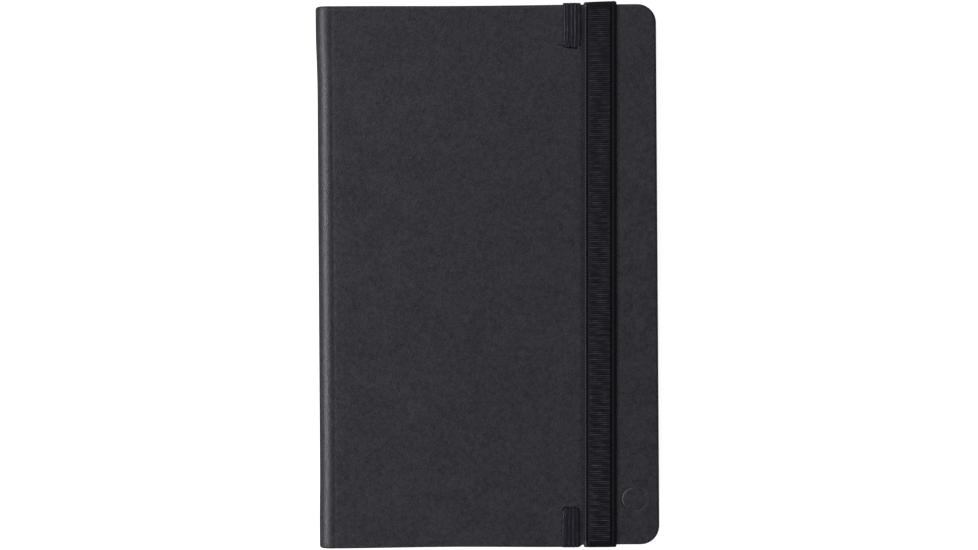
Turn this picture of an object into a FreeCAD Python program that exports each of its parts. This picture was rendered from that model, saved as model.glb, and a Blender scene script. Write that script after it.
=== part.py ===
import FreeCAD, Part
import os

from FreeCAD import Vector

# A hard-cover pocket notebook lying on its back cover, in millimetres.
# +X points from the spine to the fore-edge, +Y to the head, +Z up out of the front cover.
# The origin is under the middle of the notebook, on the surface that it lies on.

# Case: two boards and a spine card under one leatherette
COVER_WIDTH = 88.5
COVER_HEIGHT = 141.0
CORNER_RADIUS = 4.9
LEATHERETTE = 0.4
BOARD = 1.8
TURN_IN = 12.0
EDGE_ROUND = 0.5
FOLD_ROUND = 0.15
SHOULDER_RADIUS = 3.65
CREASE_WIDTH = 1.2
CREASE_DEPTH = 0.3
SPINE_CARD = 1.0
SPINE_FOLD = 0.4
PASTEDOWN = 0.15
PASTEDOWN_MARGIN = 2.6

# Elastic closure, a loop round the whole notebook
CLOSURE_WIDTH = 8.4
CLOSURE_CENTRE_X = 29.25
CLOSURE_FRONT = 0.8
CLOSURE_BACK = 0.7
CLOSURE_PROUD = 0.85
CLOSURE_GAP = 0.05
CLOSURE_OUTER_ROUND = 1.4
CLOSURE_INNER_ROUND = 0.6
STITCH_HEIGHT = 0.1
STITCH_WIDTH = 0.3
STITCH_LENGTH = 3.2
STITCHES_PER_ROW = 10
TRACK_DEPTH = 0.1
TRACK_MARGIN = 0.35

# Narrow strap round the front cover, held in two slits
STRAP_WIDTH = 4.7
STRAP_CENTRE_X = 21.7
STRAP_THICKNESS = 0.55
STRAP_TAB = 11.0
SLIT_HEAD_INSET = 11.1
SLIT_TAIL_INSET = 9.6
SLIT_WIDTH = 5.0
SLIT_OPENING = 0.8

# Pages
SQUARE_HEAD = 2.5
SQUARE_FORE = 3.0
PAGE_CORNER = 4.0
SIGNATURES = 10
SIGNATURE_PITCH = 0.79
SIGNATURE_THICKNESS = 0.77
LEAF = 0.1
LEAF_PITCH = 0.13
TURNING_LEAVES = 3
ENDPAPER = 0.15

# Spine linings, sewing and endbands
MULL = 0.2
MULL_HEIGHT = 124.0
LINING = 0.2
LINING_HEIGHT = 134.0
THREAD_RADIUS = 0.15
SEWING_STATIONS = (-55.0, -35.0, -12.0, 12.0, 35.0, 55.0)
ENDBAND_RADIUS = 0.65
ENDBAND_TAPE = 0.15
ENDBAND_SKIRT = 8.0

# Pocket inside the back cover
POCKET_SPINE_X = -29.5
POCKET_FORE_X = 40.0
POCKET_HEIGHT = 126.0
POCKET_PANEL = 0.25
POCKET_HINGE_WIDTH = 1.2
GUSSET_CLOTH = 0.18
GUSSET_DEPTH = 5.0
SMALL_GAP = 0.05

# Places worked out from the sizes above
SPINE_X = -COVER_WIDTH / 2
FORE_X = COVER_WIDTH / 2
HEAD_Y = COVER_HEIGHT / 2
BACK_Z = STITCH_HEIGHT + CLOSURE_BACK + CLOSURE_GAP
COVER_THICKNESS = BOARD + LEATHERETTE
BACK_INNER_Z = BACK_Z + COVER_THICKNESS
BLOCK_Z = BACK_INNER_Z + PASTEDOWN + 1.05
BLOCK_TOP_Z = BLOCK_Z + SIGNATURES * SIGNATURE_PITCH
FRONT_INNER_Z = BLOCK_TOP_Z + 1.4
FRONT_Z = FRONT_INNER_Z + COVER_THICKNESS
MIDDLE_Z = (BACK_Z + FRONT_Z) / 2
TOP_Z = FRONT_Z + CLOSURE_GAP + CLOSURE_FRONT
SHOULDER_X = SPINE_X + SHOULDER_RADIUS
COVER_START_X = SHOULDER_X + CREASE_WIDTH
BOARD_START_X = COVER_START_X + 0.2
CARD_X = SPINE_X + LEATHERETTE
MULL_X = CARD_X + SPINE_CARD
LINING_X = MULL_X + MULL
THREAD_X = LINING_X + LINING + SMALL_GAP + THREAD_RADIUS
FOLD_X = THREAD_X + THREAD_RADIUS + 0.02
PAGE_FORE_X = FORE_X - SQUARE_FORE
PAGE_HALF_Y = HEAD_Y - SQUARE_HEAD
SHOULDER_Z = FRONT_Z - SHOULDER_RADIUS
SPINE_LOW_Z = BACK_Z + SHOULDER_RADIUS + SPINE_FOLD
SPINE_HIGH_Z = SHOULDER_Z - SPINE_FOLD
LEAF_START_X = SHOULDER_X + 1.1
HEAD_SLIT_Y = HEAD_Y - SLIT_HEAD_INSET
TAIL_SLIT_Y = SLIT_TAIL_INSET - HEAD_Y


def outline(x0, x1, half_y, corner, z):
    """A flat sheet with its two fore-edge corners rounded."""
    bend = corner * (1 - 0.5 ** 0.5)
    a = Vector(x0, -half_y, z)
    b = Vector(x1 - corner, -half_y, z)
    c = Vector(x1, -half_y + corner, z)
    d = Vector(x1, half_y - corner, z)
    e = Vector(x1 - corner, half_y, z)
    f = Vector(x0, half_y, z)
    low_bend = Vector(x1 - bend, -half_y + bend, z)
    high_bend = Vector(x1 - bend, half_y - bend, z)
    edges = [
        Part.LineSegment(a, b).toShape(),
        Part.Arc(b, low_bend, c).toShape(),
        Part.LineSegment(c, d).toShape(),
        Part.Arc(d, high_bend, e).toShape(),
        Part.LineSegment(e, f).toShape(),
        Part.LineSegment(f, a).toShape(),
    ]
    return Part.Face(Part.Wire(edges))


def plate(x0, x1, half_y, corner, z0, z1):
    """A flat slab with its two fore-edge corners rounded."""
    return outline(x0, x1, half_y, corner, z0).extrude(Vector(0, 0, z1 - z0))


def box(x0, x1, y0, y1, z0, z1):
    return Part.makeBox(x1 - x0, y1 - y0, z1 - z0, Vector(x0, y0, z0))


def centred_box(x, width, half_y, z0, z1):
    return box(x - width / 2, x + width / 2, -half_y, half_y, z0, z1)


def edges_at(shape, height, past_x):
    """The edges that lie flat at one height, apart from those before past_x."""
    found = []
    for edge in shape.Edges:
        bounds = edge.BoundBox
        level = abs(bounds.ZMin - height) < 1e-4 and abs(bounds.ZMax - height) < 1e-4
        if level and bounds.XMax > past_x:
            found.append(edge)
    return found


def path_face(points, thickness):
    """A flat strip that follows points on the XY plane, with round bends and ends."""
    return Part.makePolygon(points).makeOffset2D(thickness / 2, join=0, fill=True)


def ribbon(points, thickness, width, centre_x):
    """A strap that follows points (y, z) along its middle, with its width along X."""
    face = path_face([Vector(y, z, 0) for y, z in points], thickness)
    strap = face.extrude(Vector(0, 0, width))
    turn = FreeCAD.Matrix(0, 0, 1, centre_x - width / 2, 1, 0, 0, 0, 0, 1, 0, 0, 0, 0, 0, 1)
    return strap.transformGeometry(turn)


def to_back(shape):
    """The same shape on the back cover, mirrored about the notebook's middle plane."""
    return shape.mirror(Vector(0, 0, MIDDLE_Z), Vector(0, 0, 1))


def board_core(x0):
    """The board, with the step that its leatherette turn-ins are pressed into."""
    fore = FORE_X - LEATHERETTE
    half = HEAD_Y - LEATHERETTE
    corner = CORNER_RADIUS - LEATHERETTE
    step_z = FRONT_INNER_Z + LEATHERETTE
    upper = plate(x0, fore, half, corner, step_z, FRONT_Z - LEATHERETTE)
    lower = box(x0, fore - TURN_IN, -half + TURN_IN, half - TURN_IN, FRONT_INNER_Z, step_z)
    return upper.fuse(lower).removeSplitter()


def slits():
    """Two slots through the front cover that the narrow strap goes down through."""
    made = []
    for middle in (TAIL_SLIT_Y, HEAD_SLIT_Y):
        made.append(
            box(
                STRAP_CENTRE_X - SLIT_WIDTH / 2,
                STRAP_CENTRE_X + SLIT_WIDTH / 2,
                middle - SLIT_OPENING / 2,
                middle + SLIT_OPENING / 2,
                FRONT_INNER_Z,
                FRONT_Z,
            )
        )
    return made


def strap_tab_recesses():
    """Shallow recesses in the front board's inner face for the strap's glued ends."""
    made = []
    width = STRAP_WIDTH + 2 * SMALL_GAP
    depth = STRAP_THICKNESS + SMALL_GAP
    length = STRAP_TAB + 1.0
    for y0, y1 in ((HEAD_SLIT_Y - length, HEAD_SLIT_Y), (TAIL_SLIT_Y, TAIL_SLIT_Y + length)):
        made.append(
            box(
                STRAP_CENTRE_X - width / 2,
                STRAP_CENTRE_X + width / 2,
                y0,
                y1,
                FRONT_INNER_Z,
                FRONT_INNER_Z + depth,
            )
        )
    return made


def cover_leatherette():
    """The flat part of one cover's leatherette, wrapped over its board's three free edges."""
    skin = plate(COVER_START_X, FORE_X, HEAD_Y, CORNER_RADIUS, FRONT_INNER_Z, FRONT_Z)
    past_spine = COVER_START_X + EDGE_ROUND
    skin = skin.makeFillet(EDGE_ROUND, edges_at(skin, FRONT_Z, past_spine))
    skin = skin.makeFillet(FOLD_ROUND, edges_at(skin, FRONT_INNER_Z, past_spine))
    return skin.cut(board_core(COVER_START_X - 1.0))


def front_leatherette():
    return cover_leatherette().cut(slits() + strap_tab_recesses())


def front_board():
    return board_core(BOARD_START_X).cut(slits() + strap_tab_recesses())


def back_leatherette():
    """The back cover's leatherette, with the shallow track that the closure has pressed in it."""
    width = CLOSURE_WIDTH + 2 * TRACK_MARGIN
    track = centred_box(CLOSURE_CENTRE_X, width, HEAD_Y, BACK_Z, BACK_Z + TRACK_DEPTH)
    return to_back(cover_leatherette()).cut(track)


def back_board():
    return to_back(board_core(BOARD_START_X))


def pastedown():
    """The endpaper's glued half, which covers the board and the edges of the turn-ins."""
    half = HEAD_Y - PASTEDOWN_MARGIN
    corner = CORNER_RADIUS - PASTEDOWN_MARGIN
    fore = FORE_X - PASTEDOWN_MARGIN
    return plate(BOARD_START_X, fore, half, corner, FRONT_INNER_Z - PASTEDOWN, FRONT_INNER_Z)


def joint_strip():
    """The flexible leatherette from the spine's edge round the shoulder and down into the crease."""
    centre = Vector(SHOULDER_X, 0, SHOULDER_Z)
    diagonal = Vector(-(0.5 ** 0.5), 0, 0.5 ** 0.5)
    inner_radius = SHOULDER_RADIUS - LEATHERETTE
    foot_outer = Vector(SPINE_X, 0, SPINE_HIGH_Z)
    foot_inner = Vector(CARD_X, 0, SPINE_HIGH_Z)
    side_outer = Vector(SPINE_X, 0, SHOULDER_Z)
    side_inner = Vector(CARD_X, 0, SHOULDER_Z)
    top = Vector(SHOULDER_X, 0, FRONT_Z)
    end = Vector(COVER_START_X, 0, FRONT_Z)
    dip = Vector(SHOULDER_X + CREASE_WIDTH / 2, 0, FRONT_Z - CREASE_DEPTH)
    down = Vector(0, 0, -LEATHERETTE)
    edges = [
        Part.LineSegment(foot_outer, side_outer).toShape(),
        Part.Arc(side_outer, centre + diagonal * SHOULDER_RADIUS, top).toShape(),
        Part.Arc(top, dip, end).toShape(),
        Part.LineSegment(end, end + down).toShape(),
        Part.Arc(end + down, dip + down, top + down).toShape(),
        Part.Arc(top + down, centre + diagonal * inner_radius, side_inner).toShape(),
        Part.LineSegment(side_inner, foot_inner).toShape(),
        Part.LineSegment(foot_inner, foot_outer).toShape(),
    ]
    face = Part.Face(Part.Wire(edges))
    face.translate(Vector(0, -HEAD_Y, 0))
    return face.extrude(Vector(0, COVER_HEIGHT, 0))


def spine_core(x0):
    """The stiff spine card, with the step that its leatherette turn-ins are pressed into."""
    half = HEAD_Y - LEATHERETTE
    step_x = MULL_X - LEATHERETTE
    outer = box(x0, step_x, -half, half, SPINE_LOW_Z, SPINE_HIGH_Z)
    inner = box(step_x, MULL_X, -half + TURN_IN, half - TURN_IN, SPINE_LOW_Z, SPINE_HIGH_Z)
    return outer.fuse(inner).removeSplitter()


def spine_leatherette():
    skin = box(SPINE_X, MULL_X, -HEAD_Y, HEAD_Y, SPINE_LOW_Z, SPINE_HIGH_Z)
    return skin.cut(spine_core(CARD_X))


def spine_sheet(x0, thickness, height):
    """A lining glued flat on the sewn spine."""
    return box(x0, x0 + thickness, -height / 2, height / 2, SPINE_LOW_Z, SPINE_HIGH_Z)


def signature(number):
    """One folded and sewn section of pages, counted from the back."""
    z0 = BLOCK_Z + number * SIGNATURE_PITCH
    radius = SIGNATURE_THICKNESS / 2
    fold_x = FOLD_X + radius
    pages = plate(fold_x, PAGE_FORE_X, PAGE_HALF_Y, PAGE_CORNER, z0, z0 + SIGNATURE_THICKNESS)
    start = Vector(fold_x, -PAGE_HALF_Y, z0 + radius)
    fold = Part.makeCylinder(radius, 2 * PAGE_HALF_Y, start, Vector(0, 1, 0))
    return pages.fuse(fold).removeSplitter()


def loose_leaf(z0, thickness):
    """A leaf that turns. It starts a little way in from its fold, so that it clears the spine."""
    return plate(LEAF_START_X, PAGE_FORE_X, PAGE_HALF_Y, PAGE_CORNER, z0, z0 + thickness)


def sewing_thread():
    """The linked threads up the spine, one at each sewing station."""
    threads = []
    for y in SEWING_STATIONS:
        start = Vector(THREAD_X, y, BLOCK_Z + 0.2)
        length = SIGNATURES * SIGNATURE_PITCH - 0.4
        threads.append(Part.makeCylinder(THREAD_RADIUS, length, start, Vector(0, 0, 1)))
    return Part.makeCompound(threads)


def endband(side):
    """The striped roll at one end of the spine, with the tape that glues it on."""
    roll_x = LINING_X + LINING + SMALL_GAP + ENDBAND_RADIUS
    roll_y = PAGE_HALF_Y + SMALL_GAP + ENDBAND_RADIUS
    height = SPINE_HIGH_Z - SPINE_LOW_Z
    start = Vector(roll_x, side * roll_y, SPINE_LOW_Z)
    roll = Part.makeCylinder(ENDBAND_RADIUS, height, start, Vector(0, 0, 1))
    low, high = sorted((side * (roll_y - ENDBAND_SKIRT), side * roll_y))
    tape_x = LINING_X + LINING + SMALL_GAP
    tape = box(tape_x, tape_x + ENDBAND_TAPE, low, high, SPINE_LOW_Z, SPINE_HIGH_Z)
    return roll.fuse(tape).removeSplitter()


def pocket_panel():
    """The pocket's stiff paper front, with the strip down its fore-edge that it hinges on."""
    low = BACK_INNER_Z + PASTEDOWN + SMALL_GAP
    top = low + 2 * GUSSET_CLOTH + 3 * SMALL_GAP + POCKET_PANEL
    half = POCKET_HEIGHT / 2
    panel = box(POCKET_SPINE_X, POCKET_FORE_X, -half, half, top - POCKET_PANEL, top)
    strip = box(POCKET_FORE_X - POCKET_HINGE_WIDTH, POCKET_FORE_X, -half, half, low, top)
    return panel.fuse(strip).removeSplitter()


def pocket_gusset(side):
    """The folded cloth that closes one end of the pocket and lets it open."""
    low = BACK_INNER_Z + PASTEDOWN + SMALL_GAP
    high = low + 2 * GUSSET_CLOTH + SMALL_GAP
    x0 = POCKET_SPINE_X + 1.0
    x1 = POCKET_FORE_X - POCKET_HINGE_WIDTH - 0.3
    outer = side * POCKET_HEIGHT / 2
    fold = outer - side * GUSSET_DEPTH
    y0, y1 = sorted((outer, fold))
    cloth = box(x0, x1, y0, y1, low, high)
    y0, y1 = sorted((outer, fold + side * GUSSET_CLOTH))
    gap = box(x0, x1, y0, y1, low + GUSSET_CLOTH, high - GUSSET_CLOTH)
    return cloth.cut(gap)


def back_flyleaf():
    z1 = BLOCK_Z - SMALL_GAP
    return loose_leaf(z1 - ENDPAPER, ENDPAPER)


def strap_points():
    """The narrow strap's middle line, from one glued end round the cover to the other."""
    half = STRAP_THICKNESS / 2
    tab_z = FRONT_INNER_Z + half
    outer_z = FRONT_Z + SMALL_GAP + half
    edge_y = HEAD_Y + SMALL_GAP + half
    inner_z = FRONT_INNER_Z - PASTEDOWN - SMALL_GAP - half
    return [
        (HEAD_SLIT_Y - STRAP_TAB, tab_z),
        (HEAD_SLIT_Y, tab_z),
        (HEAD_SLIT_Y, outer_z),
        (edge_y, outer_z),
        (edge_y, inner_z),
        (-edge_y, inner_z),
        (-edge_y, outer_z),
        (TAIL_SLIT_Y, outer_z),
        (TAIL_SLIT_Y, tab_z),
        (TAIL_SLIT_Y + STRAP_TAB, tab_z),
    ]


def page_strap():
    return ribbon(strap_points(), STRAP_THICKNESS, STRAP_WIDTH, STRAP_CENTRE_X)


def closure_band():
    """The wide elastic loop. Its ends meet under the back cover, where they are stitched."""
    inner_z0 = BACK_Z - CLOSURE_GAP
    inner_z1 = FRONT_Z + CLOSURE_GAP
    inner_y = HEAD_Y + CLOSURE_GAP
    outer = centred_box(
        CLOSURE_CENTRE_X, CLOSURE_WIDTH, inner_y + CLOSURE_PROUD, STITCH_HEIGHT, TOP_Z
    )
    inner = centred_box(CLOSURE_CENTRE_X, CLOSURE_WIDTH, inner_y, inner_z0, inner_z1)
    return rounded(outer, CLOSURE_OUTER_ROUND).cut(rounded(inner, CLOSURE_INNER_ROUND))


def rounded(block, radius):
    """A block with its four edges along X rounded."""
    found = [e for e in block.Edges if abs(e.tangentAt(e.FirstParameter).x) > 0.99]
    return block.makeFillet(radius, found)


def closure_stitching():
    """Two rows of zigzag stitches across the closure's joined ends."""
    rows = []
    pitch = (CLOSURE_WIDTH - 2 * STITCH_WIDTH) / STITCHES_PER_ROW
    first = CLOSURE_CENTRE_X - pitch * STITCHES_PER_ROW / 2
    for row in (-1, 1):
        middle = row * STITCH_LENGTH * 0.7
        points = []
        for number in range(STITCHES_PER_ROW + 1):
            side = 1 if number % 2 else -1
            points.append(Vector(first + number * pitch, middle + side * STITCH_LENGTH / 2, 0))
        rows.append(path_face(points, STITCH_WIDTH).extrude(Vector(0, 0, STITCH_HEIGHT)))
    return Part.makeCompound(rows)


def all_parts():
    parts = {
        "front_leatherette": front_leatherette(),
        "front_board": front_board(),
        "front_pastedown": pastedown(),
        "front_joint": joint_strip(),
        "page_strap": page_strap(),
        "back_leatherette": back_leatherette(),
        "back_board": back_board(),
        "back_pastedown": to_back(pastedown()),
        "back_joint": to_back(joint_strip()),
        "spine_leatherette": spine_leatherette(),
        "spine_card": spine_core(CARD_X),
        "spine_mull": spine_sheet(MULL_X, MULL, MULL_HEIGHT),
        "spine_lining": spine_sheet(LINING_X, LINING, LINING_HEIGHT),
        "sewing_thread": sewing_thread(),
        "headband": endband(1),
        "tailband": endband(-1),
        "back_flyleaf": back_flyleaf(),
        "pocket_panel": pocket_panel(),
        "pocket_gusset_head": pocket_gusset(1),
        "pocket_gusset_tail": pocket_gusset(-1),
        "closure_band": closure_band(),
        "closure_stitching": closure_stitching(),
    }
    for number in range(SIGNATURES):
        parts[f"signature_{number + 1:02d}"] = signature(number)
    first_z = BLOCK_TOP_Z + LEAF_PITCH - LEAF
    for number in range(TURNING_LEAVES):
        z0 = first_z + number * LEAF_PITCH
        parts[f"leaf_{TURNING_LEAVES - number}"] = loose_leaf(z0, LEAF)
    parts["front_flyleaf"] = loose_leaf(first_z + TURNING_LEAVES * LEAF_PITCH, ENDPAPER)
    return parts


os.makedirs("parts", exist_ok=True)
for name, shape in all_parts().items():
    shape.exportStep(f"parts/{name}.step")
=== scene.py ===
import math
from types import SimpleNamespace

import bmesh
import bpy
import numpy as np
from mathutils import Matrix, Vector


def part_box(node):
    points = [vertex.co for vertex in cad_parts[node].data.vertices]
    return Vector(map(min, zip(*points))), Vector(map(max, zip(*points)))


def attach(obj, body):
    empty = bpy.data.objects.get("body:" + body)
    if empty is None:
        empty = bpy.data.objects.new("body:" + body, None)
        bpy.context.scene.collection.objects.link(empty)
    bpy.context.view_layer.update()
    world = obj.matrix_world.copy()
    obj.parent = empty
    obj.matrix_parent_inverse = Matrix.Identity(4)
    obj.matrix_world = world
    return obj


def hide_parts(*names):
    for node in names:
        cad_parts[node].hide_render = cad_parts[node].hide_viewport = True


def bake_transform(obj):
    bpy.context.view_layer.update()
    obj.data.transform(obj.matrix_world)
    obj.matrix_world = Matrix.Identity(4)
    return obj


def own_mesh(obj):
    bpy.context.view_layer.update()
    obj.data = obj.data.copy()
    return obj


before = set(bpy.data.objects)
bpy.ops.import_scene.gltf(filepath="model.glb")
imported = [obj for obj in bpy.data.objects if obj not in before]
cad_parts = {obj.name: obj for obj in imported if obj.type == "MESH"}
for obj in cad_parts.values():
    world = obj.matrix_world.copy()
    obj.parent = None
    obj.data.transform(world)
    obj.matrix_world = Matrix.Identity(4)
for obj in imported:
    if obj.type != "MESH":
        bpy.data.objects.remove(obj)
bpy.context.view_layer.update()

# Shapes are worked out in millimetres in the CAD frame: +X to the fore-edge, +Y to the head, +Z up.
MM = 0.001
SEED = 11


def box_mm(node):
    """The lowest and highest corners of a CAD node, in millimetres."""
    low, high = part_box(node)
    return np.array(low) / MM, np.array(high) / MM


# Places read from the frame
COVER_LOW, COVER_HIGH = box_mm("front_leatherette")
JOINT_LOW = box_mm("front_joint")[0]
PASTE_LOW, PASTE_HIGH = box_mm("front_pastedown")
STRAP_LOW, STRAP_HIGH = box_mm("page_strap")
BAND_LOW, BAND_HIGH = box_mm("closure_band")

SPINE_X = JOINT_LOW[0]
FORE_X = COVER_HIGH[0]
HEAD_Y = COVER_HIGH[1]
FRONT_Z = COVER_HIGH[2]
INNER_Z = COVER_LOW[2]
BACK_Z = box_mm("back_leatherette")[0][2]
MIDDLE_Z = (FRONT_Z + BACK_Z) / 2

# The case
CORNER = 4.9
EDGE_ROUND = 0.7
FOLD_ROUND = 0.3
CLOTH = 0.4
WAVE = 0.012
CLOSURE_DENT = 0.16
CLOSURE_TRACK = 0.08
SHOULDER = 3.65
CREASE = 1.2
CREASE_DEPTH = 0.07
CREASE_WIDTH = 0.5
CREASE_X = SPINE_X + 4.05
SPINE_EDGE_ROUND = 3.3
SHOULDER_TILT = math.radians(42)
TURN_IN_SHOWN = 3.4
SHOULDER_X = SPINE_X + SHOULDER

# How far the bound case is from square, in millimetres
TAIL_BOW = 0.47
TAIL_BOW_WAVE = 0.11
HEAD_DIP = 0.18
HEAD_FLARE = 0.38
TAIL_FLARE = 0.15
FORE_EDGE_SHIFT = 0.13

# The debossed ring that stands where the cover has its mark
RING_CENTRE = (37.7, -58.6)
RING_RADIUS = 3.1
RING_LINE = 0.32
RING_DEPTH = 0.2

# The slits that the strap goes down through
SLIT_X = (STRAP_LOW[0] + STRAP_HIGH[0]) / 2
HEAD_SLIT_Y = 59.4
TAIL_SLIT_Y = -60.9
SLIT_LIP = 0.08
SLIT_DEPTH = 0.3
STRAP_HOLLOW = 0.05

# Both elastics lie a little askew on the cover, by these slopes
LEAN = 0.0066
STRAP_LEAN = 0.0085
STRAP_SHIFT = 0.12

# How strong the even light from all round is, and how far the floor reaches, in metres
WORLD_LIGHT = 0.13
FLOOR_REACH = 3.0


# ---- meshes

def smooth_step(t):
    t = np.clip(t, 0.0, 1.0)
    return t * t * (3 - 2 * t)


def bell(offset, width):
    """A soft bump: 1 in its middle and fading out past width."""
    return np.exp(-(offset / width) ** 2)


def points_at(*coordinates):
    """Points from one array or number for each coordinate, all spread to the same shape."""
    return np.stack(np.broadcast_arrays(*coordinates), -1)


def distances(path):
    """How far along a path each of its points lies."""
    return np.concatenate([[0], np.cumsum(np.linalg.norm(np.diff(path, axis=0), axis=1))])


def unit_tangents(path):
    """Unit vectors along a path, one at each point."""
    tangent = np.gradient(path, axis=0)
    return tangent / np.linalg.norm(tangent, axis=1)[:, None]


def left_normals(path):
    """Unit vectors to the left of a flat path, one at each point."""
    tangent = unit_tangents(path)
    return points_at(-tangent[:, 1], tangent[:, 0])


def corner_places(end, radius, count):
    """Places that follow a rounded corner which ends at end."""
    return end - radius + radius * np.sin(np.linspace(0, math.pi / 2, count + 1))


def corner_reach(place, end, reach, radius):
    """How far a shape with a rounded corner reaches at a place. The shape ends at end."""
    past = np.clip(place - (end - radius), 0, radius)
    return reach - radius + np.sqrt(np.maximum(radius ** 2 - past ** 2, 0))


def lines(start, end, step, fine=()):
    """Places from start to end about step apart, and closer inside each fine (low, high, step)."""
    cuts = {start, end}
    for low, high, _ in fine:
        cuts.update((min(max(low, start), end), min(max(high, start), end)))
    cuts = sorted(cuts)
    places = [start]
    for low, high in zip(cuts[:-1], cuts[1:]):
        middle = (low + high) / 2
        size = min([step] + [s for a, b, s in fine if a <= middle <= b])
        count = max(1, math.ceil((high - low) / size - 1e-6))
        places.extend(low + (high - low) * (k + 1) / count for k in range(count))
    return np.array(places)


def in_scene(name, data):
    """A new object with that data, in the scene."""
    thing = bpy.data.objects.new(name, data)
    bpy.context.scene.collection.objects.link(thing)
    return thing


def make_piece(name, points, faces, material, crisp=False, closed=True, painted_shading=None):
    """A mesh object from points in millimetres, with sharp edges if crisp.
    A closed one gets its faces turned outwards.
    The last argument gives each point its painted highlight or painted shade, 0 to 1, for the material to
    read."""
    mesh = bpy.data.meshes.new(name)
    scaled = np.asarray(points, float).reshape(-1, 3) * MM
    mesh.from_pydata(scaled.tolist(), [], [tuple(int(v) for v in f) for f in faces])
    if closed:
        shell = bmesh.new()
        shell.from_mesh(mesh)
        bmesh.ops.recalc_face_normals(shell, faces=shell.faces)
        shell.to_mesh(mesh)
        shell.free()
    mesh.polygons.foreach_set("use_smooth", [True] * len(mesh.polygons))
    if crisp:
        mesh.set_sharp_from_angle(angle=math.radians(40))
    mesh.materials.append(material)
    # Painted highlights and painted shade, 0 to 1 for each point, stored as a point attribute for the
    # material
    if painted_shading is not None:
        layer = mesh.attributes.new("painted_shading", "FLOAT", "POINT")
        layer.data.foreach_set("value", np.clip(painted_shading, 0, 1).astype(np.float32).ravel())
    mesh.validate()
    mesh.update()
    return in_scene(name, mesh)


def grid_faces(rows, columns, first=0, wrap_rows=False, wrap_columns=False, flip=False):
    """Quads over a grid of points stored row by row."""
    i = np.arange(rows if wrap_rows else rows - 1)
    j = np.arange(columns if wrap_columns else columns - 1)
    i, j = (a.ravel() for a in np.meshgrid(i, j, indexing="ij"))
    k, l = (i + 1) % rows, (j + 1) % columns
    quads = np.stack([i * columns + j, k * columns + j, k * columns + l, i * columns + l], 1)
    if flip:
        quads = quads[:, ::-1]
    return (quads + first).tolist()


def sheet_solid(top, bottom, flip=False):
    """A closed thin solid between two grids of points of the same shape."""
    rows, columns = top.shape[:2]
    count = rows * columns
    faces = grid_faces(rows, columns, 0, flip=flip)
    faces += grid_faces(rows, columns, count, flip=not flip)
    rim = [(0, j) for j in range(columns)]
    rim += [(i, columns - 1) for i in range(1, rows)]
    rim += [(rows - 1, j) for j in range(columns - 2, -1, -1)]
    rim += [(i, 0) for i in range(rows - 2, 0, -1)]
    for (a, b), (c, d) in zip(rim, rim[1:] + rim[:1]):
        p, q = a * columns + b, c * columns + d
        quad = (p, q, q + count, p + count)
        faces.append(quad[::-1] if flip else quad)
    return np.concatenate([top.reshape(-1, 3), bottom.reshape(-1, 3)]), faces


def stand_in(piece, slot, *nodes):
    """Hides those CAD nodes, for the piece to stand in their place. piece and slot are not used."""
    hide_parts(*nodes)


def ride(piece, body, slot, *nodes):
    """The piece moves with the body and stands in for those CAD nodes."""
    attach(piece, body)
    stand_in(piece, slot, *nodes)


def wave_noise(x, y, seed, size, count=7):
    """Soft random waves over x and y, about size apart, between -1 and 1."""
    rng = np.random.default_rng(seed)
    total = np.zeros(np.broadcast(x, y).shape)
    for _ in range(count):
        angle, phase = rng.uniform(0, 2 * math.pi, 2)
        rate = 2 * math.pi / (size * rng.uniform(0.6, 1.7))
        total = total + np.sin((x * math.cos(angle) + y * math.sin(angle)) * rate + phase)
    return total / count


# ---- materials

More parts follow.
